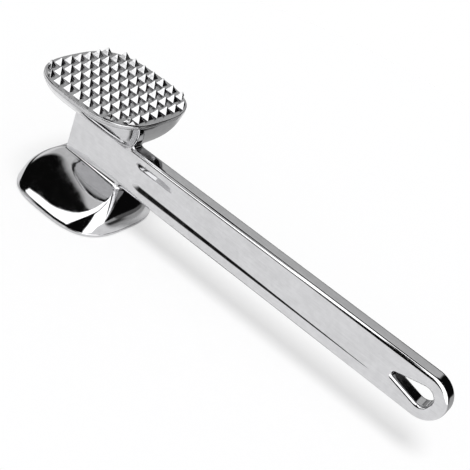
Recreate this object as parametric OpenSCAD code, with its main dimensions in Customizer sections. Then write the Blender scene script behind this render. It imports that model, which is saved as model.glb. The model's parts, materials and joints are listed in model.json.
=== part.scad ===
// Two-faced meat mallet: one spiked face, one smooth face, and a flat bar handle.
// The mallet stands on its smooth face. X runs along the handle, Z points out of the spiked face.
// The origin is the centre of the smooth face. All sizes are in millimetres.

/* [Striking faces] */
// Width of each striking face, along the handle and across it
face_w = 57.6; // [48:0.2:76]
// Squareness of the face outline: 2 is a circle, larger is squarer
face_power = 3; // [2:0.1:6]
// Height of the upright edge band round each face
face_t = 1.8; // [1:0.1:4]
// Distance between the smooth face and the ground under the spikes
head_span = 60.8; // [52:0.2:90]

/* [Heads] */
// How far the bar and the narrow ends of the heads reach in front of the face centre
neck_front = 15.2; // [10:0.2:20]
// How far the narrow ends of the heads reach behind the face centre, towards the handle
neck_back = 17.4; // [12:0.2:20]
// Swell of the heads in side view: 1 is a straight cone, larger is rounder
swell_side = 1.5; // [1.1:0.05:2.5]
// Swell of the heads in end view: 1 is a straight cone, larger is rounder
swell_end = 1.2; // [1.1:0.05:2.5]
// Squareness of the narrow ends of the heads, where they meet the bar
neck_power = 10; // [4:1:16]
// Radius of the fillet between each head and the handle
root_r = 3; // [1:0.1:6]

/* [Spikes] */
// Distance from one spike to the next
spike_pitch = 6; // [5:0.1:9]
// Rows of spikes each way
spike_rows = 9; // [5:2:11]
// Width of a spike at its foot
spike_base = 4; // [2.5:0.1:4.6]
// Width of the blunt tip of a spike
spike_tip = 0.3; // [0.1:0.1:1]
// Height of a spike
spike_h = 2.9; // [1.5:0.1:5]
// Plain border between the spikes and the edge of the face
spike_border = 0.9; // [0.4:0.1:3]

/* [Handle] */
// Thickness of the bar
bar_t = 8; // [6:0.1:12]
// Height of the bar
bar_h = 21.8; // [16:0.2:30]
// Distance from the face centre to the tip of the handle
reach = 194; // [150:1:260]
// Radius of the handle's rounded long edges and tip edge
edge_r = 1.2; // [0.4:0.1:2.5]

/* [Grip panels] */
// Height of the sunk panel on each side of the handle
panel_w = 10.6; // [6:0.2:13]
// Depth of the panel at its deep end, next to the heads
panel_depth = 1; // [0.4:0.1:2]
// Distance from the heads' fillets to the deep end of the panel
panel_gap = 3.6; // [2:0.2:20]
// Distance from the shallow end of the panel to the hanging hole
panel_end_gap = 6.4; // [3:0.2:20]

/* [Hanging hole] */
// Radius of the hole's wide end
hole_r = 4.6; // [3:0.1:6]
// Radius of the hole's narrow end
hole_nose_r = 2; // [1:0.1:2.8]
// Distance between the centres of the two ends
hole_len = 12.2; // [8:0.2:20]

/* [Hidden] */

// Points round a section of a head, and sections from its narrow end to its edge band
section_points = 64;
section_rings = 14;
// Overcut of every hole and sunk panel, so that no face is left in a cut's plane
overcut = 1;
$fn = 96;

mid_z = head_span / 2;
bar_top = mid_z + bar_h / 2;
head_h = mid_z - bar_h / 2 - face_t;
tip_r = bar_h / 2;
tip_x = reach - tip_r;
nose_x = tip_x - hole_len;
neck_end = neck_back + root_r;
panel_x0 = neck_end + panel_gap;
panel_x1 = nose_x - hole_nose_r - panel_end_gap;
panel_tilt = atan(panel_depth / (panel_x1 - panel_x0));

// A rounded square that is 2 a by 2 b wide about cx, as points at even angles
function squircle(a, b, power, cx = 0) = [
    for (k = [0 : section_points - 1])
        let (t = 360 * k / section_points,
             s = pow(pow(abs(cos(t)), power) + pow(abs(sin(t)), power), -1 / power))
        [cx + a * s * cos(t), b * s * sin(t)]
];

// Share of the way from the narrow end (0) to the edge band (1) at height h, also 0 to 1
function swell(h, power) = pow(1 - pow(1 - h, power), 1 / power);

// How far the fillet on the handle's side stands out of a head at height h
function root_flare(h) =
    let (gap = root_r - min(h * head_h, root_r))
    root_r - sqrt(root_r * root_r - gap * gap);

// Outline of a head at height h, where 0 is on the bar and 1 is at the edge band
function head_section(h) =
    let (half = face_w / 2,
         side = swell(h, swell_side),
         end = swell(h, swell_end),
         front = neck_front + (half - neck_front) * side,
         back = neck_back + (half - neck_back) * side + root_flare(h),
         width = bar_t / 2 + (half - bar_t / 2) * end,
         power = face_power + (neck_power - face_power) * pow(1 - h, 2))
    squircle((front + back) / 2, width, power, (back - front) / 2);

// A closed solid through a list of outlines at a list of heights, lowest first
module loft(outlines, heights) {
    n = len(outlines[0]);
    last = len(outlines) - 1;
    rings = [for (r = [0 : last]) for (p = outlines[r]) [p[0], p[1], heights[r]]];
    centres = [for (r = [0, last]) [0, 0, heights[r]]];
    first_centre = len(rings);
    faces = [for (k = [0 : n - 1])
        let (next = (k + 1) % n, top = last * n)
        each concat(
            [[k, next, first_centre], [top + next, top + k, first_centre + 1]],
            [for (r = [0 : last - 1])
                let (a = r * n + k, b = r * n + next)
                each [[a, a + n, b], [b, a + n, b + n]]])];
    polyhedron(concat(rings, centres), faces, convexity = 4);
}

module face_outline(border = 0) {
    half = face_w / 2 - border;
    polygon(squircle(half, half, face_power));
}

// A head from the bar at height 0 up to the edge band
module head_block() {
    steps = [for (r = [0 : section_rings]) pow(r / section_rings, 2)];
    loft([for (h = steps) head_section(h)], [for (h = steps) h * head_h]);
}

// A square spike with a blunt tip, standing on height 0
module spike() {
    rotate([0, 0, 45])
        cylinder(h = spike_h, d1 = spike_base * sqrt(2), d2 = spike_tip * sqrt(2), $fn = 4);
}

// True where a spike's centre lies inside the border of the face
function spike_fits(x, y) =
    let (half = face_w / 2 - spike_border)
    pow(abs(x) / half, face_power) + pow(abs(y) / half, face_power) < 1;

module spike_field() {
    first = -(spike_rows - 1) / 2;
    intersection() {
        union()
            for (i = [0 : spike_rows - 1], j = [0 : spike_rows - 1]) {
                x = (first + i) * spike_pitch;
                y = (first + j) * spike_pitch;
                if (spike_fits(x, y)) translate([x, y, 0]) spike();
            }
        translate([0, 0, -overcut])
            linear_extrude(spike_h + 2 * overcut) face_outline(spike_border);
    }
}

// The bar's straight part, with its long edges rounded
module bar_grip() {
    length = tip_x - neck_end;
    translate([neck_end, -bar_t / 2, -bar_h / 2 + edge_r])
        cube([length, bar_t, bar_h - 2 * edge_r]);
    translate([neck_end, -bar_t / 2 + edge_r, -bar_h / 2])
        cube([length, bar_t - 2 * edge_r, bar_h]);
    for (side = [-1, 1], level = [-1, 1])
        translate([neck_end, side * (bar_t / 2 - edge_r), level * (bar_h / 2 - edge_r)])
            rotate([0, 90, 0]) cylinder(h = length, r = edge_r);
}

// The bar's round tip, with its edge rounded to the same radius
module bar_tip() {
    translate([tip_x, 0, 0])
        rotate([90, 0, 0])
            rotate_extrude() {
                translate([0, -bar_t / 2]) square([tip_r - edge_r, bar_t]);
                translate([0, -bar_t / 2 + edge_r]) square([tip_r, bar_t - 2 * edge_r]);
                for (side = [-1, 1])
                    translate([tip_r - edge_r, side * (bar_t / 2 - edge_r)]) circle(edge_r);
            }
}

// The sunk panel on the side that faces -Y: deep next to the heads, fading out before the hole
module panel_cut() {
    length = panel_x1 - panel_x0;
    translate([panel_x1, -bar_t / 2, 0])
        rotate([0, 0, -panel_tilt])
            rotate([90, 0, 0])
                linear_extrude(panel_depth + overcut) {
                    translate([-length + panel_w / 2, 0]) circle(d = panel_w);
                    translate([-length + panel_w / 2, -panel_w / 2])
                        square([length + overcut, panel_w]);
                }
}

// The tear-shaped hanging hole: two round ends joined by the lines that touch both
module hanging_hole() {
    lean = asin((hole_r - hole_nose_r) / hole_len);
    wide = hole_r * [-sin(lean), cos(lean)];
    narrow = hole_nose_r * [-sin(lean), cos(lean)] - [hole_len, 0];
    translate([tip_x, bar_t / 2 + overcut, 0])
        rotate([90, 0, 0])
            linear_extrude(bar_t + 2 * overcut) {
                circle(hole_r);
                translate([-hole_len, 0]) circle(hole_nose_r);
                polygon([wide, narrow, [narrow[0], -narrow[1]], [wide[0], -wide[1]]]);
            }
}

module handle_bar() {
    color("silver")
        translate([0, 0, mid_z])
            difference() {
                union() {
                    translate([-neck_front, -bar_t / 2, -bar_h / 2])
                        cube([neck_front + neck_end, bar_t, bar_h]);
                    bar_grip();
                    bar_tip();
                }
                panel_cut();
                mirror([0, 1, 0]) panel_cut();
                hanging_hole();
            }
}

module smooth_head() {
    color("darkgray")
        translate([0, 0, mid_z - bar_h / 2]) mirror([0, 0, 1]) head_block();
}

module smooth_face_plate() {
    color("gainsboro") linear_extrude(face_t) face_outline();
}

module spiked_head() {
    color("darkgray") translate([0, 0, bar_top]) head_block();
}

module spiked_face_plate() {
    color("gainsboro") {
        translate([0, 0, head_span - face_t]) linear_extrude(face_t) face_outline();
        translate([0, 0, head_span]) spike_field();
    }
}

handle_bar();
smooth_head();
smooth_face_plate();
spiked_head();
spiked_face_plate();
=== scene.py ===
import json
import math

import bpy
import numpy as np
from mathutils import Matrix, Vector
from mathutils.bvhtree import BVHTree


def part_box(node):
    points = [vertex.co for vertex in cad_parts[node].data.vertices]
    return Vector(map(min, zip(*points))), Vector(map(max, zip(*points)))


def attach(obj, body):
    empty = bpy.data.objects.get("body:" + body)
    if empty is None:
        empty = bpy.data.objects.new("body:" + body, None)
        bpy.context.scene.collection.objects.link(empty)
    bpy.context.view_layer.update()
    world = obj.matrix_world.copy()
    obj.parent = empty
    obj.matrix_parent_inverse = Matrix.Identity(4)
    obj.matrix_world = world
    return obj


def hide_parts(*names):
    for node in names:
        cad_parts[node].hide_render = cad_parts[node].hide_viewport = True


# Two-faced meat mallet of polished cast aluminium, standing on its smooth face.
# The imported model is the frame: X runs along the handle, Z points out of the spiked face.
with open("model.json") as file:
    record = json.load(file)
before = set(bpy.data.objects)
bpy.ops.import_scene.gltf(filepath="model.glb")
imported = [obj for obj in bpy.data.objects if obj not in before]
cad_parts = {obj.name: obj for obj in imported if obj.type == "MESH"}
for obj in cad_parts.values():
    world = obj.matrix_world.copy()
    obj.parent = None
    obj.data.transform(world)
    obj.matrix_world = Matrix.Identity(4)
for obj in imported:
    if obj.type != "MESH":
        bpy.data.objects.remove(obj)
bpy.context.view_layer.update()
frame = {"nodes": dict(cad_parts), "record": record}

# ---------------------------------------------------------------- camera and image points
PHOTO_W, PHOTO_H = 470, 470
CAMERA_POSITION = (0.218553, -0.302552, 0.254641)
CAMERA_AIM = (0.080907, 0.0, 0.035159)
CAMERA_ROLL_DEG = 23.206
CAMERA_LENS_MM = 71.42
CAMERA_SENSOR_MM = 36.0
CAMERA_SHIFT = (0.0, 0.0)

# Pixels of the photograph: x to the right, y down.
IMAGE_POINTS = {
    "left_x": (15.0, 180.0),
    "right_x": (454.5, 394.0),
    "top_y": (107.5, 47.5),
    "bottom_y": (428.0, 421.5),
    "spiked_rim_left": (45.3, 70.0),
    "spiked_rim_right": (187.5, 104.5),
    "web_top_front": (76.0, 111.0),
    "web_bottom_front": (66.0, 146.5),
    "lower_neck_corner": (116.0, 187.0),
    "lower_head_bottom": (95.0, 237.5),
    "panel_start": (129.5, 179.5),
    "panel_fade": (368.0, 369.0),
    "hole_narrow_end": (387.0, 373.0),
    "hole_wide_end": (432.0, 401.0),
}

# ---------------------------------------------------------------- sizes, in millimetres
MM = 0.001


def box_mm(node):
    """Lowest and highest corner of a CAD node, in millimetres."""
    low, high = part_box(node)
    return np.array(low) / MM, np.array(high) / MM


bar_low, bar_high = box_mm("handle_bar")
plate_low, plate_high = box_mm("smooth_face_plate")
spikes_high = box_mm("spiked_face_plate")[1]
hole_mount = next(m for m in frame["record"]["mounts"] if m["name"] == "hanging_hole")

FACE_HALF = plate_high[0]
BAND_H = plate_high[2] - plate_low[2]
MID_Z = (bar_low[2] + bar_high[2]) / 2
BAR_HALF_H = (bar_high[2] - bar_low[2]) / 2
BAR_HALF_T = bar_high[1]
NECK_FRONT = -bar_low[0]
REACH = bar_high[0]
TIP_X = hole_mount["pos_m"][0] / MM
GROUND_Z = 2 * MID_Z
HEAD_H = MID_Z - BAR_HALF_H - BAND_H
SPIKE_H = spikes_high[2] - GROUND_Z

# Squareness of a head's outline at its face and at the neck, the neck's end next to the grip, and
# how a head widens from neck to face, along the handle and across it.
FACE_POWER = 3.0
NECK_POWER = 10.0
NECK_BACK = 17.4
SWELL_ALONG = 1.5
SWELL_ACROSS = 1.2
# Rounding of the bar's long edges, the neck's front and a face's rim, and a head's root fillet.
EDGE_R = 2.0
FRONT_EDGE_R = 0.45
RIM_R = 0.55
FILLET_FRONT, FILLET_BACK = 0.6, 2.3
# How far the neck's flat sides go on inside the heads, and the rounding of their ends.
NECK_SINK, NECK_SINK_R = 1.6, 0.4

# Spikes in a square grid: spacing, number on each side, half widths of foot and tip, and what
# stays bare round the face's edge.
SPIKE_PITCH = 6.0
SPIKE_ROWS = 9
SPIKE_HALF = 2.0
SPIKE_TIP_HALF = 0.15
SPIKE_BORDER = 0.9
# Width of the chamfers, their greatest share of a half width, and how deep a spike's foot goes.
SPIKE_CHAMFER, SPIKE_CHAMFER_SHARE = 0.14, 0.35
SPIKE_SINK = 0.2
# A spike's middle level, as shares of its foot and height, then the level where its tip is cut,
# which is wider than the tip and below the end, and what is left of the tip at the end.
SPIKE_WAIST_SHARE, SPIKE_WAIST_AT = 0.5, 0.52
SPIKE_CUT_WIDER, SPIKE_CUT_BELOW, SPIKE_END_SHARE = 0.05, 0.08, 0.6

# Tear-shaped hanging hole: its wide and narrow radius, the way between them and its rounded edge.
HOLE_R, HOLE_NOSE_R, HOLE_LEN, HOLE_EDGE_R = 4.6, 1.3, 13.3, 1.6

# Grip panel in each side of the bar: distance from the bar's middle to the edge of its upper wall
# and to the middle of its lower wall, half the zone between the two, and its corners.
PANEL_HALF_H = 7.2
PANEL_LOW_WALL = 5.1
PANEL_BLEND_H = 3
PANEL_CORNER_R = 4.0
# How far the panel goes on beyond the image points of its start and its fading end.
PANEL_LEAD_START, PANEL_LEAD_FADE = 1.0, 6.0
# Depth next to the heads, and slopes of the lower wall and of the upper one, which flattens out
# between two places along the bar.
PANEL_DEPTH = 1.45
PANEL_SLOPE_LOW, PANEL_SLOPE_TOP, PANEL_SLOPE_FLAT = 0.46, 0.37, 0.06
PANEL_FLAT_FROM, PANEL_FLAT_TO = 36.0, 66.0
# Steepness of its start next to that of its walls, below and above the middle, and how softly the
# walls turn into its floor: at full depth, and the least share of that.
PANEL_START_LOW, PANEL_START_TOP = 0.5, 1.15
PANEL_SOFT, PANEL_SOFT_LEAST = 0.34, 0.06

# ---------------------------------------------------------------- how fine the meshes are
# Vertices round a ring, and how far they are drawn towards its corners.
RING_COUNT = 320
CORNER_PULL = 0.17
# A head's rings: those near its rim, as shares of its height below it, those of its skirt, and
# those that go on over the bar, a step apart, then close at a point this deep inside it.
RIM_STEPS = (0.0, 0.0008, 0.003, 0.007, 0.015, 0.03, 0.05, 0.08)
SKIRT_RINGS, SKIRT_TOP, SKIRT_POWER = 46, 0.885, 1.25
ROOT_RINGS, ROOT_STEP, ROOT_CORE = 14, 0.42, 4
# Rings below this share of a head's height follow the fillet. Past the fillet they sink this deep
# into the bar, where they are lower than this above it.
ROOT_FROM, ROOT_SINK, ROOT_SINK_FROM = 0.4, 0.5, 2
# At the neck's end the last rings turn from running down to running along the grip, over these
# distances from its end and from its sides.
TURN_FROM, TURN_TO = 1.5, 0.1
TURN_SIDE_FROM, TURN_SIDE_TO = 1.6, 0.3
# A face plate's rings: one down its band, those round its rim, and those in towards its middle.
BAND_RING = 0.35
RIM_ARC_STEPS = 9
FACE_SHARES = (0.97, 0.94, 0.9, 0.8, 0.6, 0.4, 0.2, 0.06)
# Places along the bar between which its mesh is fine: next to the heads, and from the hole on.
FINE_NECK_FROM, FINE_NECK_TO, FINE_TIP_FROM = 15.5, 34, 156


# ---------------------------------------------------------------- camera and places in view
def make_camera():
    """The camera of the photograph, aimed and rolled."""
    data = bpy.data.cameras.new("camera")
    data.sensor_fit = "AUTO"
    data.sensor_width = CAMERA_SENSOR_MM
    data.lens = CAMERA_LENS_MM
    data.shift_x, data.shift_y = CAMERA_SHIFT
    data.clip_start, data.clip_end = 0.01, 20
    obj = bpy.data.objects.new("camera", data)
    bpy.context.scene.collection.objects.link(obj)
    position = Vector(CAMERA_POSITION)
    look = (Vector(CAMERA_AIM) - position).to_track_quat("-Z", "Y")
    roll = Matrix.Rotation(math.radians(CAMERA_ROLL_DEG), 4, "Z")
    obj.matrix_world = Matrix.Translation(position) @ look.to_matrix().to_4x4() @ roll
    bpy.context.scene.camera = obj
    return obj


def camera_ray(point):
    """Start and direction of the ray through a place in the photograph."""
    side = max(PHOTO_W, PHOTO_H)
    x, y = point
    ray = Vector((x - PHOTO_W / 2 + camera.data.shift_x * side,
                  PHOTO_H / 2 - y + camera.data.shift_y * side,
                  -side * camera.data.lens / camera.data.sensor_width))
    turn = camera.matrix_world.to_3x3()
    return camera.matrix_world.translation, (turn @ ray).normalized()


# Distances from the camera, in metres, at which a ray that misses looks for the nearest place.
SEARCH_FROM, SEARCH_TO, SEARCH_STEPS = 0.2, 0.7, 251


def place_on(carrier, point):
    """Where a point's ray meets a BVHTree, or the tree's place nearest it, in millimetres."""
    start, ray = camera_ray(point)
    hit = carrier.ray_cast(start, ray)[0]
    if hit is None:
        steps = [start + ray * d for d in np.linspace(SEARCH_FROM, SEARCH_TO, SEARCH_STEPS)]
        nearest = [carrier.find_nearest(step) for step in steps]
        hit = min(nearest, key=lambda found: found[3])[0]
    return np.array(hit) / MM


def to_image(points):
    """Pixels of the photograph's frame at which world points in metres show."""
    inverse = np.array(camera.matrix_world.inverted())
    local = points @ inverse[:3, :3].T + inverse[:3, 3]
    side = max(PHOTO_W, PHOTO_H)
    scale = side * camera.data.lens / camera.data.sensor_width / -local[:, 2]
    x = PHOTO_W / 2 - camera.data.shift_x * side + local[:, 0] * scale
    y = PHOTO_H / 2 + camera.data.shift_y * side - local[:, 1] * scale
    return np.c_[x, y]


def tree_of(objects):
    """A BVHTree of finished objects."""
    points, faces = [], []
    for obj in objects:
        first = len(points)
        points.extend(obj.matrix_world @ v.co for v in obj.data.vertices)
        faces.extend([first + v for v in polygon.vertices] for polygon in obj.data.polygons)
    return BVHTree.FromPolygons(points, faces)


# The grip panel starts and fades out where the photograph shows it, on the bar's side.
camera = make_camera()
bar_tree = tree_of([frame["nodes"]["handle_bar"]])
PANEL_X0 = place_on(bar_tree, IMAGE_POINTS["panel_start"])[0] - PANEL_LEAD_START
PANEL_X1 = place_on(bar_tree, IMAGE_POINTS["panel_fade"])[0] + PANEL_LEAD_FADE


# ---------------------------------------------------------------- distance fields, in millimetres
def round_max(a, b, r):
    """Keeps what is inside both, with the convex edge between them rounded."""
    corner = np.hypot(np.maximum(r + a, 0), np.maximum(r + b, 0))
    return np.minimum(-r, np.maximum(a, b)) + corner


def round_min(a, b, r):
    """Joins two solids, with the hollow edge between them filled."""
    corner = np.hypot(np.maximum(r - a, 0), np.maximum(r - b, 0))
    return np.maximum(r, np.minimum(a, b)) - corner


def smooth_step(x, low, high):
    """0 up to low and 1 from high on, with a smooth ramp between."""
    t = np.clip((x - low) / (high - low), 0, 1)
    return t * t * (3 - 2 * t)


def rounded_bar(x, y, z):
    """The bar with rounded long edges and a round tip; z is measured from its middle."""
    past = np.maximum(x - TIP_X, 0)
    across = np.abs(y) - (BAR_HALF_T - EDGE_R)
    up = np.hypot(past, z) - (BAR_HALF_H - EDGE_R)
    outside = np.hypot(np.maximum(across, 0), np.maximum(up, 0))
    return outside + np.minimum(np.maximum(across, up), 0) - EDGE_R


def neck_slab(x, y):
    """The bar's flat sides, carried on into both heads."""
    half = (NECK_FRONT + NECK_BACK) / 2
    along = np.abs(x - (NECK_BACK - NECK_FRONT) / 2) - half
    return round_max(np.abs(y) - BAR_HALF_T, along, FRONT_EDGE_R)


def hole_field(x, z):
    """Tear-shaped outline: two circles and the lines that touch both."""
    u = x - TIP_X
    w = np.abs(z)
    lean = (HOLE_R - HOLE_NOSE_R) / HOLE_LEN
    rise = math.sqrt(1 - lean * lean)
    along = -u * rise - w * lean
    wide = np.hypot(u, w) - HOLE_R
    narrow = np.hypot(u + HOLE_LEN, w) - HOLE_NOSE_R
    flank = -u * lean + w * rise - HOLE_R
    return np.where(along < 0, wide, np.where(along > HOLE_LEN * rise, narrow, flank))


def soft_max(a, b, width):
    """The greater of two, blended over a width; also fits surfaces that meet at a small angle."""
    over = np.maximum(width - np.abs(a - b), 0)
    return np.maximum(a, b) + over * over / (4 * width)


def panel_depth(x, z):
    """Depth of the grip panel: gentle walls, a round start next to the heads and a long fade."""
    upper = smooth_step(z, -PANEL_BLEND_H, PANEL_BLEND_H)
    start = PANEL_START_LOW + (PANEL_START_TOP - PANEL_START_LOW) * upper
    flat = smooth_step(x, PANEL_FLAT_FROM, PANEL_FLAT_TO)
    top = PANEL_SLOPE_TOP + (PANEL_SLOPE_FLAT - PANEL_SLOPE_TOP) * flat
    slope = PANEL_SLOPE_LOW + (top - PANEL_SLOPE_LOW) * upper
    out_x = np.maximum((PANEL_X0 - x) * start + PANEL_CORNER_R, 0)
    fade = np.clip((PANEL_X1 - x) / (PANEL_X1 - PANEL_X0), 0, 1)
    low_half = PANEL_LOW_WALL + PANEL_DEPTH * fade / (2 * PANEL_SLOPE_LOW)
    half = low_half + (PANEL_HALF_H - low_half) * upper
    out_z = np.maximum(np.abs(z) - half + PANEL_CORNER_R, 0)
    inside = PANEL_CORNER_R - np.hypot(out_x, out_z)
    soft = PANEL_SOFT * np.maximum(fade, PANEL_SOFT_LEAST)
    wall = soft_max(inside * slope, 0 * x, soft)
    return np.maximum(-soft_max(-wall, -PANEL_DEPTH * fade, soft), 0)


def handle_field(x, y, z):
    """The whole handle; z is measured from the bar's middle."""
    slab = round_max(neck_slab(x, y), np.abs(z) - BAR_HALF_H - NECK_SINK, NECK_SINK_R)
    bar = round_max(rounded_bar(x, y, z), -NECK_FRONT - x, FRONT_EDGE_R)
    solid = np.minimum(slab, bar)
    solid = np.maximum(solid, np.abs(y) - BAR_HALF_T + panel_depth(x, z))
    return round_max(solid, -hole_field(x, z), HOLE_EDGE_R)


def gradient(field, p, step=0.01):
    """Central differences of a field at points p."""
    out = np.empty_like(p)
    for axis in range(3):
        d = np.zeros(3)
        d[axis] = step
        out[:, axis] = (field(*(p + d).T) - field(*(p - d).T)) / (2 * step)
    return out


def project(field, p, rounds=8, reach=0.6):
    """Moves points onto the field's surface and returns them with their normals."""
    for _ in range(rounds):
        g = gradient(field, p)
        size = np.maximum((g * g).sum(1), 1e-6)
        step = np.clip(field(*p.T) / np.sqrt(size), -reach, reach)
        p = p - g / np.sqrt(size)[:, None] * step[:, None]
    g = gradient(field, p)
    return p, g / np.linalg.norm(g, axis=1, keepdims=True)


# ---------------------------------------------------------------- heads
def swell(h, power):
    """Share of its way out that a head has gone at height h; greater powers go out sooner."""
    return (1 - (1 - h) ** power) ** (1 / power)


def head_outline(h):
    """Front and back reach, half width and squareness at h, 0 on the bar and 1 at the rim."""
    along = swell(h, SWELL_ALONG)
    across = swell(h, SWELL_ACROSS)
    front = NECK_FRONT + (FACE_HALF - NECK_FRONT) * along
    back = NECK_BACK + (FACE_HALF - NECK_BACK) * along
    width = BAR_HALF_T + (FACE_HALF - BAR_HALF_T) * across
    power = FACE_POWER + (NECK_POWER - FACE_POWER) * (1 - h) ** 2
    return front, back, width, power


def outside_of(x, y, h):
    """Above 0 where a point lies outside the head's outline at height h."""
    front, back, width, power = head_outline(h)
    half = (front + back) / 2
    u = np.abs(x - (back - front) / 2) / half
    v = np.abs(y) / width
    return u ** power + v ** power - 1


def head_height(x, y):
    """Height at which the head's outline passes over a point in plan, from 0 to 1."""
    low, high = np.zeros_like(x), np.ones_like(x)
    for _ in range(30):
        middle = (low + high) / 2
        out = outside_of(x, y, middle) > 0
        low = np.where(out, middle, low)
        high = np.where(out, high, middle)
    return (low + high) / 2


def head_skin(x, y, z):
    """Distance from a head's skirt; z runs from the bar's middle towards the head."""
    def raw(a, b, c):
        return HEAD_H * head_height(a, b) - (c - BAR_HALF_H)
    d = 0.02
    gx = (raw(x + d, y, z) - raw(x - d, y, z)) / (2 * d)
    gy = (raw(x, y + d, z) - raw(x, y - d, z)) / (2 * d)
    return raw(x, y, z) / np.sqrt(gx * gx + gy * gy + 1)


def fillet_radius(x):
    """Radius of a head's root fillet, which grows from the front to the grip."""
    return FILLET_FRONT + (FILLET_BACK - FILLET_FRONT) * smooth_step(x, -NECK_FRONT, NECK_BACK)


def root_field(x, y, z):
    """Handle and head joined by a fillet that is sharp in front and full next to the grip."""
    bar = round_max(rounded_bar(x, y, z), -NECK_FRONT - x, FRONT_EDGE_R)
    bar = np.minimum(bar, neck_slab(x, y))
    return round_min(bar, head_skin(x, y, z), fillet_radius(x))


def ring_angles(count):
    """Angles round a squircle, closer together at its corners."""
    even = np.arange(count) * 2 * math.pi / count
    return even + CORNER_PULL * np.sin(4 * even)


def squircle(front, back, width, power, angles):
    """Plan of a ring that reaches front and back along X, and its half width to both sides."""
    c, s = np.cos(angles), np.sin(angles)
    r = (np.abs(c) ** power + np.abs(s) ** power) ** (-1 / power)
    half = (front + back) / 2
    return (back - front) / 2 + half * r * c, width * r * s


def root_rings(neck):
    """Rings from a head's neck on: down the bar's sides and front, and along it over the grip."""
    toward_grip = smooth_step(neck[:, 0], NECK_BACK - TURN_FROM, NECK_BACK - TURN_TO)
    beside = np.abs(neck[:, 1])
    toward_side = smooth_step(beside, BAR_HALF_T - TURN_SIDE_FROM, BAR_HALF_T - TURN_SIDE_TO)
    down = 1 - toward_grip * (1 - toward_side)
    move = np.c_[toward_grip, np.zeros(len(neck)), -down]
    return [neck + move * (k * ROOT_STEP) for k in range(1, ROOT_RINGS + 1)]


def head_rings():
    """Rings of a head from its rim down to the bar, then on over the bar's surface."""
    angles = ring_angles(RING_COUNT)
    rows = [1 - r for r in RIM_STEPS]
    rows += list(np.linspace(SKIRT_TOP, 0.0, SKIRT_RINGS) ** SKIRT_POWER)
    points = []
    for h in rows:
        x, y = squircle(*head_outline(h), angles)
        points.append(np.c_[x, y, np.full(RING_COUNT, BAR_HALF_H + h * HEAD_H)])
    rings = np.array(points + root_rings(points[-1]))
    near = np.array([h < ROOT_FROM for h in rows] + [True] * ROOT_RINGS)
    skin, normals = project(root_field, rings[near].reshape(-1, 3))
    past = head_skin(*skin.T) - fillet_radius(skin[:, 0])
    low = smooth_step(BAR_HALF_H + ROOT_SINK_FROM - skin[:, 2], 0, 1)
    sink = np.clip(past / 2, 0, ROOT_SINK) * low
    rings[near] = (skin - normals * sink[:, None]).reshape(-1, RING_COUNT, 3)
    return rings


def ring_faces(rows, count, closed=True):
    """Quads between neighbouring rings, or between the lines of an open grid."""
    faces = []
    for r in range(rows - 1):
        for k in range(count if closed else count - 1):
            n = (k + 1) % count
            faces.append((r * count + k, r * count + n, (r + 1) * count + n, (r + 1) * count + k))
    return faces


def closed_loft(rings, start, end):
    """Vertices and faces of a closed solid through rings, with a fan at each end."""
    rows, count = rings.shape[:2]
    points = np.vstack([rings.reshape(-1, 3), [start], [end]])
    faces = ring_faces(rows, count)
    first, last = rows * count, rows * count + 1
    for k in range(count):
        n = (k + 1) % count
        faces.append((first, n, k))
        faces.append((last, (rows - 1) * count + k, (rows - 1) * count + n))
    return points, faces


def make_piece(name, points, faces, material, node, normals=None):
    """A smooth piece from points in millimetres, on the root body and in place of a CAD node."""
    mesh = bpy.data.meshes.new(name)
    mesh.from_pydata([tuple(p) for p in np.asarray(points) * MM], [], faces)
    mesh.validate()
    mesh.polygons.foreach_set("use_smooth", [True] * len(mesh.polygons))
    mesh.update()
    if normals is not None:
        mesh.normals_split_custom_set_from_vertices([tuple(n) for n in normals])
    obj = bpy.data.objects.new(name, mesh)
    bpy.context.scene.collection.objects.link(obj)
    mesh.materials.append(material)
    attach(obj, "root")
    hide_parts(node)
    return obj


def flip_faces(faces):
    """The same faces, looking the other way."""
    return [tuple(reversed(f)) for f in faces]


def build_head(name, node, rings, upward, material):
    """One head from the upper head's rings, whose z is measured from the bar's middle."""
    rim, core = (0, 0, rings[0, 0, 2]), (0, 0, BAR_HALF_H - ROOT_CORE)
    points, faces = closed_loft(rings, rim, core)
    if upward:
        points[:, 2] += MID_Z
        faces = flip_faces(faces)
    else:
        points[:, 2] = MID_Z - points[:, 2]
    return make_piece(name, points, faces, material, node)


# ---------------------------------------------------------------- handle
def grid_lines(*stretches):
    """Grid lines in one direction, from the start, end and step of each stretch."""
    return np.concatenate([np.arange(*stretch) for stretch in stretches])


def mirrored(lines):
    """Grid lines on both sides of 0, from those on one side."""
    return np.concatenate([-lines[:0:-1], lines])


def handle_axes():
    """Grid lines of the handle's mesh: close together wherever its surface turns."""
    front = -NECK_FRONT
    # The neck's front edge, the neck, the panel's start, the grip, and the hole with the tip.
    x = grid_lines((front - 0.675, front + 1.2, 0.15), (front + 1.2, FINE_NECK_FROM, 0.8),
                   (FINE_NECK_FROM, FINE_NECK_TO, 0.35), (FINE_NECK_TO, FINE_TIP_FROM, 1.2),
                   (FINE_TIP_FROM, REACH + 0.7, 0.35))
    # The middle of the thickness, then the panel's floor and the rounded edges.
    y = grid_lines((0, 2.6, 0.4), (2.6, 4.5, 0.13))
    # The grip's middle, the panel's lower wall, its upper wall, the long edges, and the neck's ends.
    z = grid_lines((0, 4.0, 0.3), (4.0, 6.2, 0.14), (6.2, 9.3, 0.5), (9.3, 11.3, 0.15),
                   (11.4, 13.3, 0.4))
    return x, mirrored(y), mirrored(z)


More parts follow.
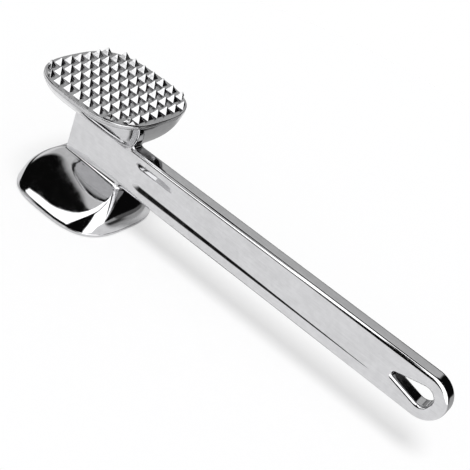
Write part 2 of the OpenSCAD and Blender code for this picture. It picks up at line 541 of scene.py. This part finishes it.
def surface_net(field, x, y, z):
    """Quads along the zero surface of a field, one vertex in each grid cell that it crosses."""
    gx, gy, gz = np.meshgrid(x, y, z, indexing="ij")
    inside = field(gx, gy, gz) < 0
    corners = [inside[i:i - 1 or None, j:j - 1 or None, k:k - 1 or None]
               for i in (0, 1) for j in (0, 1) for k in (0, 1)]
    total = sum(c.astype(np.int8) for c in corners)
    mixed = (total > 0) & (total < 8)
    index = np.full(mixed.shape, -1)
    index[mixed] = np.arange(mixed.sum())
    i, j, k = np.nonzero(mixed)
    points = np.c_[(x[i] + x[i + 1]) / 2, (y[j] + y[j + 1]) / 2, (z[k] + z[k + 1]) / 2]
    faces = []
    for axis in range(3):
        a = np.moveaxis(inside, axis, 0)
        n = np.moveaxis(index, axis, 0)
        change = a[:-1] != a[1:]
        p, q, r = np.nonzero(change[:, 1:-1, 1:-1])
        q, r = q + 1, r + 1
        quad = np.c_[n[p, q - 1, r - 1], n[p, q, r - 1], n[p, q, r], n[p, q - 1, r]]
        leaving = a[p, q, r]
        if axis == 1:
            leaving = ~leaving
        quad = np.where(leaving[:, None], quad, quad[:, ::-1])
        faces.extend(map(tuple, quad.tolist()))
    return points, faces


def build_handle(material):
    """The bar with its neck, grip panels and hanging hole, as one mesh."""
    points, faces = surface_net(handle_field, *handle_axes())
    points, normals = project(handle_field, points)
    points[:, 2] += MID_Z
    return make_piece("handle", points, faces, material, "handle_bar", normals)


# ---------------------------------------------------------------- face plates
def plate_rings(from_z, face_z):
    """Rings down the edge band of a face, round its edge and in to its middle."""
    angles = ring_angles(RING_COUNT)
    sign = 1 if face_z > from_z else -1
    profile = [(0.0, from_z), (0.0, from_z + (face_z - from_z) * BAND_RING)]
    for k in range(RIM_ARC_STEPS + 1):
        turn = k / RIM_ARC_STEPS * math.pi / 2
        inset = RIM_R * (1 - math.cos(turn))
        profile.append((inset, face_z - sign * RIM_R * (1 - math.sin(turn))))
    for share in FACE_SHARES:
        profile.append((FACE_HALF * (1 - share), face_z))
    rings = []
    for inset, z in profile:
        half = FACE_HALF - inset
        x, y = squircle(half, half, half, FACE_POWER, angles)
        rings.append(np.c_[x, y, np.full(RING_COUNT, z)])
    return np.array(rings)


def build_smooth_face(material):
    """The lower head's face plate, which stands on the floor."""
    rings = plate_rings(BAND_H, 0.0)
    points, faces = closed_loft(rings, (0, 0, BAND_H), (0, 0, 0))
    return make_piece("smooth_face", points, flip_faces(faces), material,
                      "smooth_face_plate")


def spike_shell(cx, cy):
    """One square spike with narrow chamfers down its edges and a blunt tip."""
    levels = [(SPIKE_HALF, -SPIKE_SINK), (SPIKE_HALF, 0.0),
              (SPIKE_HALF * SPIKE_WAIST_SHARE, SPIKE_H * SPIKE_WAIST_AT),
              (SPIKE_TIP_HALF + SPIKE_CUT_WIDER, SPIKE_H - SPIKE_CUT_BELOW),
              (SPIKE_TIP_HALF * SPIKE_END_SHARE, SPIKE_H)]
    rings = []
    for half, z in levels:
        cut = min(SPIKE_CHAMFER, half * SPIKE_CHAMFER_SHARE)
        ring = []
        for sx, sy in ((1, -1), (1, 1), (-1, 1), (-1, -1)):
            first = (half, half - cut) if sx * sy > 0 else (half - cut, half)
            second = (half - cut, half) if sx * sy > 0 else (half, half - cut)
            ring.append((cx + sx * first[0], cy + sy * first[1], GROUND_Z + z))
            ring.append((cx + sx * second[0], cy + sy * second[1], GROUND_Z + z))
        rings.append(ring)
    return np.array(rings)


def keep_inside(points):
    """Draws points beyond the face's border straight back to it."""
    half = FACE_HALF - SPIKE_BORDER
    norm = (np.abs(points[:, 0] / half) ** FACE_POWER
            + np.abs(points[:, 1] / half) ** FACE_POWER) ** (1 / FACE_POWER)
    points[:, :2] /= np.maximum(norm, 1)[:, None]
    return points


def spike_places():
    """Middles of the spikes, for as much of their grid as fits inside the face's border."""
    half = FACE_HALF - SPIKE_BORDER
    first = -(SPIKE_ROWS - 1) / 2
    lines = [(first + i) * SPIKE_PITCH for i in range(SPIKE_ROWS)]
    return [(cx, cy) for cx in lines for cy in lines
            if abs(cx / half) ** FACE_POWER + abs(cy / half) ** FACE_POWER < 1]


def build_spiked_face(material):
    """The upper head's face plate with its spikes, each a closed shell sunk into the plate."""
    rings = plate_rings(GROUND_Z - BAND_H, GROUND_Z)
    points, faces = closed_loft(rings, (0, 0, GROUND_Z - BAND_H), (0, 0, GROUND_Z))
    smooth = len(faces)
    all_points, offset = [points], len(points)
    for cx, cy in spike_places():
        foot, tip = (cx, cy, GROUND_Z - SPIKE_SINK), (cx, cy, GROUND_Z + SPIKE_H)
        p, f = closed_loft(spike_shell(cx, cy), foot, tip)
        all_points.append(keep_inside(p))
        faces.extend(tuple(v + offset for v in face) for face in f)
        offset += len(p)
    obj = make_piece("spiked_face", np.vstack(all_points), faces, material,
                     "spiked_face_plate")
    for polygon in obj.data.polygons[smooth:]:
        polygon.use_smooth = False
    return obj


# ---------------------------------------------------------------- materials
# Patterns in the metal: size of the wide clouds next to the mottling, and sizes of lines and pits
# in millimetres; where a pit starts and is full in its noise.
NOISE_ROUGHNESS = 0.55
CLOUD_TIMES = 5
LINE_MM, PIT_MM = 0.45, 0.8
PIT_FROM, PIT_FULL = 0.70, 0.78
# How strongly each shows in the tone, and the range of the mix that the tones are spread over.
FINE_SHARE, CLOUD_SHARE = 0.7, 0.3
PIT_DARK, PIT_ROUGH = 0.12, 0.4
TONE_FROM, TONE_TO = 0.34, 0.64
ROUGH_FROM, ROUGH_TO = 0.35, 0.75
COOL = 1.015
# Depth of the mottling next to the waviness, and of the polishing lines in millimetres.
MOTTLE_WAVE, LINE_DEPTH_MM = 0.16, 0.0006


def node_material(name):
    """A new material with its node tree and Principled shader."""
    material = bpy.data.materials.new(name)
    material.use_nodes = True
    tree = material.node_tree
    shader = tree.nodes["Principled BSDF"]
    return material, tree, shader


def noise(tree, coords, size_mm, detail, stretch=(1, 1, 1)):
    """Noise with features of about size_mm, longer along an axis whose stretch is above 1."""
    place = tree.nodes.new("ShaderNodeMapping")
    for axis in range(3):
        place.inputs["Scale"].default_value[axis] = 1 / (size_mm * MM * stretch[axis])
    tree.links.new(coords, place.inputs["Vector"])
    node = tree.nodes.new("ShaderNodeTexNoise")
    node.inputs["Scale"].default_value = 1.0
    node.inputs["Detail"].default_value = detail
    node.inputs["Roughness"].default_value = NOISE_ROUGHNESS
    tree.links.new(place.outputs[0], node.inputs["Vector"])
    return node.outputs["Fac"]


def spread(tree, value, from_low, from_high, to_low, to_high):
    """A value taken from one range to another, and kept inside it."""
    node = tree.nodes.new("ShaderNodeMapRange")
    for name, number in (("From Min", from_low), ("From Max", from_high),
                         ("To Min", to_low), ("To Max", to_high)):
        node.inputs[name].default_value = number
    tree.links.new(value, node.inputs["Value"])
    return node.outputs[0]


def combine(tree, operation, a, b):
    """A Math node on two sockets or numbers."""
    node = tree.nodes.new("ShaderNodeMath")
    node.operation = operation
    for socket, value in zip(node.inputs, (a, b)):
        if isinstance(value, (int, float)):
            socket.default_value = value
        else:
            tree.links.new(value, socket)
    return node.outputs[0]


def weighted(tree, a, share_a, b, share_b):
    """Two values, each times its share, added up."""
    part_a = combine(tree, "MULTIPLY", a, share_a)
    part_b = combine(tree, "MULTIPLY", b, share_b)
    return combine(tree, "ADD", part_a, part_b)


def bump_chain(tree, heights):
    """Bump nodes one after the other, from (height, depth in millimetres) pairs."""
    normal = None
    for height, depth in heights:
        node = tree.nodes.new("ShaderNodeBump")
        node.inputs["Strength"].default_value = 1.0
        node.inputs["Distance"].default_value = depth * MM
        tree.links.new(height, node.inputs["Height"])
        if normal is not None:
            tree.links.new(normal, node.inputs["Normal"])
        normal = node.outputs[0]
    return normal


def polished_metal(name, tones, roughness, grain, mottle_mm, wave_mm, dirt=0.0):
    """Polished cast aluminium: mottled tone, polishing lines along the grain, pits and waviness.

    tones are the darkest and brightest grey, roughness is the least and the most, grain is how
    much longer a polishing line is than it is wide, for each axis, and dirt darkens the pits.
    """
    material, tree, shader = node_material(name)
    coords = tree.nodes.new("ShaderNodeTexCoord").outputs["Object"]
    mottle = noise(tree, coords, mottle_mm, 3)
    cloud = noise(tree, coords, mottle_mm * CLOUD_TIMES, 2)
    lines = noise(tree, coords, LINE_MM, 2, grain)
    pits = spread(tree, noise(tree, coords, PIT_MM, 1), PIT_FROM, PIT_FULL, 0, 1)
    fine = weighted(tree, mottle, 0.5, lines, 0.5)
    mixed = weighted(tree, fine, FINE_SHARE, cloud, CLOUD_SHARE)
    mixed = combine(tree, "SUBTRACT", mixed, combine(tree, "MULTIPLY", pits, PIT_DARK + dirt))
    ramp = tree.nodes.new("ShaderNodeValToRGB")
    ramp.color_ramp.elements[0].position = TONE_FROM
    ramp.color_ramp.elements[1].position = TONE_TO
    for element, tone in zip(ramp.color_ramp.elements, tones):
        element.color = (tone, tone, tone * COOL, 1)
    tree.links.new(mixed, ramp.inputs[0])
    tree.links.new(ramp.outputs[0], shader.inputs["Base Color"])
    shader.inputs["Metallic"].default_value = 1.0
    rough = combine(tree, "ADD", mottle, combine(tree, "MULTIPLY", pits, PIT_ROUGH))
    rough = spread(tree, rough, ROUGH_FROM, ROUGH_TO, *roughness)
    tree.links.new(rough, shader.inputs["Roughness"])
    bumps = ((cloud, wave_mm), (mottle, wave_mm * MOTTLE_WAVE), (lines, LINE_DEPTH_MM))
    tree.links.new(bump_chain(tree, bumps), shader.inputs["Normal"])
    return material


# ---------------------------------------------------------------- studio, in metres and degrees
# A tent that only reflections see. Directions in it are azimuth, then elevation.
TENT_RADIUS = 0.45
TENT_CENTRE = (0.008, -0.018, 0.008)
TENT_LOW, TENT_HIGH, TENT_STEP = -30, 90, 1.0
TENT_BASE = 0.004
# Upper and lower edge of the bank of lamps in front, its right end, soft edge and brightness.
BANK_TOP = ((213, 2), (215, 15), (217, 27), (225, 37.5), (234, 44), (249, 49), (254, 55),
            (259, 66), (264, 90))
BANK_LOW = ((215, 18), (224, 22), (234, 27.5), (251, 30), (262, 30), (300, 10), (314, -12))
BANK_RIGHT = 364
BANK_EDGE = 2.5
BANK_TONE = 2.2
# The black flag round the camera: its middle and its half width at each elevation.
FLAG_MIDDLE = ((50, 287), (58, 297), (66, 304), (74, 325))
FLAG_HALF = ((0, 29), (14, 27), (24, 22), (32, 19), (42, 13), (50, 7), (58, 5), (66, 7), (72, 12),
             (76, 0))
# Other panels: middle azimuth, half width, low and high elevation, soft edge, brightness.
TENT_PANELS = {
    "floor_far": (0, 180, -40, -8, 4, 1.0),
    "right_floor": (50, 34, -40, -2, 6, 0.03),
    "back_floor": (124, 46, -40, 22, 8, 0.3),
    "back_wall": (102, 46, 26, 46, 6, 0.58),
    "back_softbox": (100, 46, 46, 57, 6, 0.9),
    "left_softbox": (166, 17, 14, 44, 8, 1.0),
    "left_upper": (166, 19, 40, 60, 8, 0.72),
    "front_left": (226, 8, 1, 20, 4, 0.5),
    "grey_card_and_painted_floor_shadow": (232, 62, 56.9, 74, 2.2, 0.76),
    "zenith": (0, 180, 80, 96, 5, 0.5),
}
# The sweep in front of the object, where the floor goes on upwards, with its soft sides.
SWEEP_MIDDLE, SWEEP_HALF, SWEEP_EDGE = 243, 30, 4
SWEEP_LOW, SWEEP_HIGH, SWEEP_TONE = 3, 14, 0.85


def tent_panel(azimuth, elevation, middle, half, low, high, edge):
    """Share of each direction that a panel covers."""
    off = np.abs((azimuth - middle + 180) % 360 - 180)
    mask = smooth_step(half + edge / 2 - off, 0, edge) if half < 180 else np.ones_like(off)
    mask = mask * smooth_step(elevation - low + edge / 2, 0, edge)
    return mask * smooth_step(high + edge / 2 - elevation, 0, edge)


def lamp_bank(azimuth, elevation):
    """Share of each direction that shows the lamps in front, less the camera's flag."""
    bearing = (azimuth - 180) % 360 + 180
    top = np.interp(bearing, *zip(*BANK_TOP), left=-90)
    low = np.interp(bearing, *zip(*BANK_LOW))
    mask = smooth_step(top - elevation, -BANK_EDGE / 2, BANK_EDGE / 2)
    mask = mask * smooth_step(elevation - low, -BANK_EDGE / 2, BANK_EDGE / 2)
    flag = np.interp(elevation, *zip(*FLAG_HALF))
    open_side = np.abs(bearing - np.interp(elevation, *zip(*FLAG_MIDDLE))) - flag
    mask = mask * smooth_step(open_side, -BANK_EDGE / 2, BANK_EDGE / 2)
    return mask * smooth_step(BANK_RIGHT - bearing, -BANK_EDGE / 2, BANK_EDGE / 2)


def front_sweep(azimuth, elevation):
    """Brightness of the floor's sweep in front of the object."""
    beside = np.abs(azimuth - SWEEP_MIDDLE) - SWEEP_HALF
    below = smooth_step(-elevation, -SWEEP_HIGH, -SWEEP_LOW)
    return SWEEP_TONE * smooth_step(-beside, -SWEEP_EDGE, SWEEP_EDGE) * below


def tent_tone(azimuth, elevation):
    """Brightness of the whole tent, each panel laid over those before it."""
    tone = np.full_like(azimuth, TENT_BASE)
    for *panel, bright in TENT_PANELS.values():
        mask = tent_panel(azimuth, elevation, *panel)
        tone = tone * (1 - mask) + bright * mask
    tone = np.maximum(tone, front_sweep(azimuth, elevation))
    mask = lamp_bank(azimuth, elevation)
    return tone * (1 - mask) + BANK_TONE * mask


def mirror_only(name, points, faces, tone, cover):
    """A stage surface that only reflections see, with its brightness and cover at each vertex."""
    mesh = bpy.data.meshes.new(name)
    mesh.from_pydata(points.tolist(), [], faces)
    for label, values in (("tone", tone), ("cover", cover)):
        attribute = mesh.attributes.new(label, "FLOAT", "POINT")
        attribute.data.foreach_set("value", values.ravel().astype(np.float32))
    obj = bpy.data.objects.new(name, mesh)
    bpy.context.scene.collection.objects.link(obj)
    material = bpy.data.materials.new(name)
    material.use_nodes = True
    tree = material.node_tree
    tree.nodes.clear()
    glow = tree.nodes.new("ShaderNodeEmission")
    clear = tree.nodes.new("ShaderNodeBsdfTransparent")
    mixed = tree.nodes.new("ShaderNodeMixShader")
    output = tree.nodes.new("ShaderNodeOutputMaterial")
    for label, socket in (("tone", glow.inputs["Strength"]), ("cover", mixed.inputs[0])):
        attribute = tree.nodes.new("ShaderNodeAttribute")
        attribute.attribute_name = label
        tree.links.new(attribute.outputs["Fac"], socket)
    tree.links.new(clear.outputs[0], mixed.inputs[1])
    tree.links.new(glow.outputs[0], mixed.inputs[2])
    tree.links.new(mixed.outputs[0], output.inputs["Surface"])
    mesh.materials.append(material)
    obj.visible_camera = False
    obj.visible_diffuse = False
    obj.visible_transmission = False
    obj.visible_shadow = False


def make_tent():
    """A sphere round the object whose inside shows the softboxes and dark flags to the metal."""
    azimuth, elevation = np.meshgrid(np.arange(0, 360, TENT_STEP),
                                     np.arange(TENT_LOW, TENT_HIGH + TENT_STEP / 2, TENT_STEP))
    a, e = np.radians(azimuth), np.radians(elevation)
    points = TENT_RADIUS * np.stack([np.cos(a) * np.cos(e), np.sin(a) * np.cos(e), np.sin(e)], -1)
    points = (points + TENT_CENTRE).reshape(-1, 3)
    tone = tent_tone(azimuth, elevation)
    mirror_only("studio_tent", points, ring_faces(*azimuth.shape), tone, np.ones_like(tone))


# Painted floor shadow: a grey sheet on the floor behind the object and beside its heads, seen only
# in the metal, with the object's shadow on the floor painted into its tone. All of it is in
# millimetres, and each pair is where a soft edge starts and ends.
PAINTED_SHADOW_X, PAINTED_SHADOW_Y = (-140, 425), (-20, 365)
PAINTED_SHADOW_STEP, PAINTED_SHADOW_HEIGHT = 4.0, 0.4
# Tones of the painted shadow: its main grey, and its darkest grey, which lightens from the first y
# to the second.
PAINTED_SHADOW_TONE, PAINTED_SHADOW_NEAR_TONE, PAINTED_SHADOW_FAR_TONE = 0.42, 0.04, 0.12
PAINTED_SHADOW_TONE_Y = (20, 70)
# Where the painted shadow covers the floor: behind the object, beside its heads, and in its far dark
# part.
BEHIND_FROM_Y, BEHIND_TO_Y = (26, 46), (85, 115)
BESIDE_FROM_X, BESIDE_TO_X, BESIDE_FROM_Y = (33, 42), (120, 160), (-9, -1)
# Where the painted shadow is darkest: to the right of a slanting line, far out, and next to the
# heads from an edge that steps out and back again.
SLANT, SLANT_START_X, SLANT_EDGE = 1.5, 25, 12
FAR_FROM_X, FAR_FROM_Y = (88, 104), (0, 40)
NEAR_X, NEAR_EDGE, NEAR_TO_Y = 43, 13, (90, 110)
NEAR_OUT, NEAR_OUT_Y = 20, (15, 40)
NEAR_BACK, NEAR_BACK_Y = 22, (52, 66)
# Where the painted shadow stays light, so that the handle's far side isn't black: in front of a
# slanting line.
LIGHT_FROM_X = (70, 95)
LIGHT_SLANT, LIGHT_START_X, LIGHT_EDGE = 0.62, 27, 8


def painted_shadow_depth(x, y, slanting, far):
    """Share of the painted shadow's darkest tone at each place."""
    edge = NEAR_X + NEAR_OUT * smooth_step(y, *NEAR_OUT_Y)
    edge = edge - NEAR_BACK * smooth_step(y, *NEAR_BACK_Y)
    near = smooth_step(x, edge, edge + NEAR_EDGE) * slanting * (1 - smooth_step(y, *NEAR_TO_Y))
    below = smooth_step(LIGHT_SLANT * (x - LIGHT_START_X) - y, -LIGHT_EDGE, LIGHT_EDGE)
    return np.maximum(near, far) * (1 - smooth_step(x, *LIGHT_FROM_X) * below)


def make_painted_floor_shadow():
    """The painted floor shadow: a sheet with its cover and tone at each vertex."""
    x, y = np.meshgrid(np.arange(*PAINTED_SHADOW_X, PAINTED_SHADOW_STEP), np.arange(*PAINTED_SHADOW_Y, PAINTED_SHADOW_STEP))
    behind = smooth_step(y, *BEHIND_FROM_Y) * (1 - smooth_step(y, *BEHIND_TO_Y))
    beside = smooth_step(x, *BESIDE_FROM_X) * smooth_step(y, *BESIDE_FROM_Y)
    beside = beside * (1 - smooth_step(x, *BESIDE_TO_X))
    slanting = smooth_step(SLANT * (x - SLANT_START_X) - y, -SLANT_EDGE, SLANT_EDGE)
    far = smooth_step(x, *FAR_FROM_X) * slanting
    cover = np.maximum(np.maximum(behind, beside), far * smooth_step(y, *FAR_FROM_Y))
    dark_tone = PAINTED_SHADOW_NEAR_TONE + (PAINTED_SHADOW_FAR_TONE - PAINTED_SHADOW_NEAR_TONE) * smooth_step(y, *PAINTED_SHADOW_TONE_Y)
    tone = PAINTED_SHADOW_TONE + (dark_tone - PAINTED_SHADOW_TONE) * painted_shadow_depth(x, y, slanting, far)
    points = np.stack([x, y, np.full_like(x, PAINTED_SHADOW_HEIGHT)], -1).reshape(-1, 3) * MM
    # The object's shadow on the floor, painted onto a glowing grey sheet that only reflections see.
    mirror_only("grey_card_and_painted_floor_shadow", points, ring_faces(*x.shape, closed=False), tone, cover)


# The floor: a white disc, how much of plain white it shows to the camera and to the metal.
FLOOR_RADIUS = 0.36
FLOOR_MIDDLE_X = 0.05
FLOOR_CORNERS = 96
FLOOR_COLOUR = (0.95, 0.95, 0.955)
FLOOR_GLOW = 0.5
FLOOR_GLOW_IN_METAL = 0.1
# Light on the object: an even level all round, and a soft lamp overhead from one side.
AMBIENT = 0.5
LAMP_SHARE = 0.57
LAMP_ANGLE_DEG = 26
LAMP_DIRECTION = (0.1, -0.25, 1)


def seen_directly(tree, camera_share, mirror_share):
    """How much of a flat white shows to the camera and in glass, and how much in a mirror."""
    path = tree.nodes.new("ShaderNodeLightPath")
    camera_part, mirror_part, glass_part = (
        combine(tree, "MULTIPLY", path.outputs[ray], share)
        for ray, share in (("Is Camera Ray", camera_share), ("Is Glossy Ray", mirror_share),
                           ("Is Transmission Ray", camera_share)))
    both = combine(tree, "MAXIMUM", camera_part, mirror_part)
    return combine(tree, "MAXIMUM", both, glass_part)


def make_floor():
    """White paper under the object, which keeps its shadow."""
    angles = ring_angles(FLOOR_CORNERS)
    x, y = squircle(FLOOR_RADIUS, FLOOR_RADIUS, FLOOR_RADIUS, 2, angles)
    points = np.c_[x + FLOOR_MIDDLE_X, y, np.zeros(len(x))]
    mesh = bpy.data.meshes.new("floor")
    mesh.from_pydata(points.tolist(), [], [tuple(range(len(points)))])
    floor = bpy.data.objects.new("floor", mesh)
    bpy.context.scene.collection.objects.link(floor)
    material, tree, shader = node_material("floor_paper")
    shader.inputs["Base Color"].default_value = (*FLOOR_COLOUR, 1)
    shader.inputs["Roughness"].default_value = 1
    shader.inputs["Specular IOR Level"].default_value = 0
    glow = tree.nodes.new("ShaderNodeEmission")
    mixed = tree.nodes.new("ShaderNodeMixShader")
    share = seen_directly(tree, FLOOR_GLOW, FLOOR_GLOW_IN_METAL)
    tree.links.new(share, mixed.inputs[0])
    tree.links.new(shader.outputs[0], mixed.inputs[1])
    tree.links.new(glow.outputs[0], mixed.inputs[2])
    tree.links.new(mixed.outputs[0], tree.nodes["Material Output"].inputs["Surface"])
    mesh.materials.append(material)


def make_lights():
    """White background for camera and reflections, an even ambient level and one soft lamp."""
    world = bpy.data.worlds.new("studio")
    bpy.context.scene.world = world
    world.use_nodes = True
    tree = world.node_tree
    background = tree.nodes["Background"]
    background.inputs["Color"].default_value = (1, 1, 1, 1)
    level = tree.nodes.new("ShaderNodeMapRange")
    level.inputs["To Min"].default_value = AMBIENT
    level.inputs["To Max"].default_value = 1.0
    tree.links.new(seen_directly(tree, 1, 1), level.inputs["Value"])
    tree.links.new(level.outputs[0], background.inputs["Strength"])
    data = bpy.data.lights.new("overhead_lamp", "SUN")
    data.energy = LAMP_SHARE * math.pi
    data.angle = math.radians(LAMP_ANGLE_DEG)
    lamp = bpy.data.objects.new("overhead_lamp", data)
    bpy.context.scene.collection.objects.link(lamp)
    lamp.rotation_euler = Vector(LAMP_DIRECTION).to_track_quat("Z", "Y").to_euler()
    lamp.visible_glossy = False


# ---------------------------------------------------------------- where the features show
# Metres by which something has to lie in front of a point to hide it.
HIDES_FROM = 0.0003
# Depths in millimetres at which the panel's lower wall is seen to start and to have faded out,
# and how far out and how deep the hole's rounded edge counts, as shares of its radius.
START_SEEN, FADE_SEEN = 0.12, 0.06
HOLE_SEEN_OUT, HOLE_SEEN_DEPTH = 0.6, 0.8


def vertices_of(obj):
    """An object's vertices in the world, in metres."""
    points = np.array([v.co for v in obj.data.vertices])
    matrix = np.array(obj.matrix_world)
    return points @ matrix[:3, :3].T + matrix[:3, 3]


def first_shown(tree, points, order):
    """The first point, in the given order, that nothing hides from the camera."""
    eye = camera.matrix_world.translation
    for index in order:
        way = Vector(points[index]) - eye
        hit = tree.ray_cast(eye, way.normalized())[0]
        if hit is None or (hit - eye).length > way.length - HIDES_FROM:
            return index
    return order[0]


def shown_at(tree, points, score):
    """Pixels of the point with the lowest score among those that show."""
    pixels = to_image(points)
    return pixels[first_shown(tree, points, np.argsort(score(points / MM, pixels)))]


def panel_and_hole(side):
    """Vertices of the panel's lower wall, for its start and its fade, and of the hole's edge."""
    x, depth = side[:, 0] / MM, BAR_HALF_T + side[:, 1] / MM
    height = side[:, 2] / MM - MID_Z
    before_hole = (x > NECK_BACK) & (x < TIP_X - HOLE_LEN - HOLE_EDGE_R * 3)
    low_wall = before_hole & (height > -PANEL_HALF_H) & (height < -PANEL_CORNER_R)
    start, fade = side[low_wall & (depth > START_SEEN)], side[low_wall & (depth > FADE_SEEN)]
    hole_edge = hole_field(x, height) < HOLE_EDGE_R * HOLE_SEEN_OUT
    return start, fade, side[hole_edge & (depth < HOLE_EDGE_R * HOLE_SEEN_DEPTH)]


def measure_points(pieces):
    """Where each image point's feature shows, from the finished vertices that are in view."""
    tree = tree_of(pieces.values())
    everything = np.vstack([vertices_of(piece) for piece in pieces.values()])
    bar = vertices_of(pieces["handle"])
    low_head = vertices_of(pieces["lower_head"])
    low_part = np.vstack([low_head, vertices_of(pieces["smooth_face"])])
    spiked = vertices_of(pieces["spiked_face"])
    rim = spiked[np.abs(spiked[:, 2] / MM - GROUND_Z + RIM_R) < RIM_R]
    side = bar[bar[:, 1] < 0]
    web = side[side[:, 0] / MM < -NECK_FRONT + FRONT_EDGE_R]
    start, fade, hole = panel_and_hole(side)
    corner = np.array([NECK_BACK, -BAR_HALF_T, MID_Z - BAR_HALF_H])
    features = {
        "left_x": (everything, lambda p, px: px[:, 0]),
        "right_x": (everything, lambda p, px: -px[:, 0]),
        "top_y": (everything, lambda p, px: px[:, 1]),
        "bottom_y": (everything, lambda p, px: -px[:, 1]),
        "spiked_rim_left": (rim, lambda p, px: px[:, 0]),
        "spiked_rim_right": (rim, lambda p, px: -px[:, 0]),
        "web_top_front": (web, lambda p, px: px[:, 1]),
        "web_bottom_front": (web, lambda p, px: -px[:, 1]),
        "lower_neck_corner": (low_head, lambda p, px: ((p - corner) ** 2).sum(1)),
        "lower_head_bottom": (low_part, lambda p, px: -px[:, 1]),
        "panel_start": (start, lambda p, px: p[:, 0]),
        "panel_fade": (fade, lambda p, px: -p[:, 0]),
        "hole_narrow_end": (hole, lambda p, px: px[:, 0]),
        "hole_wide_end": (hole, lambda p, px: -px[:, 0]),
    }
    return {name: shown_at(tree, *feature) for name, feature in features.items()}


# ---------------------------------------------------------------- the object and its studio
heads_metal = polished_metal("polished_heads", tones=(0.53, 0.64), roughness=(0.03, 0.1),
                             grain=(1, 1, 1), mottle_mm=2.4, wave_mm=0.012)
bar_metal = polished_metal("polished_bar", tones=(0.57, 0.69), roughness=(0.04, 0.12),
                           grain=(18, 1, 1), mottle_mm=2.6, wave_mm=0.015)
spike_metal = polished_metal("spiked_metal", tones=(0.42, 0.62), roughness=(0.10, 0.26),
                             grain=(1, 1, 1), mottle_mm=1.1, wave_mm=0.016, dirt=0.1)
rings_of_head = head_rings()
made = [
    build_handle(bar_metal),
    build_head("lower_head", "smooth_head", rings_of_head, False, heads_metal),
    build_head("upper_head", "spiked_head", rings_of_head, True, heads_metal),
    build_smooth_face(heads_metal),
    build_spiked_face(spike_metal),
]
make_floor()
make_tent()
# Painted floor shadow behind and beside the object, for the metal to reflect.
make_painted_floor_shadow()
make_lights()

bpy.context.scene.view_settings.view_transform = "Standard"

places = measure_points({piece.name: piece for piece in made})
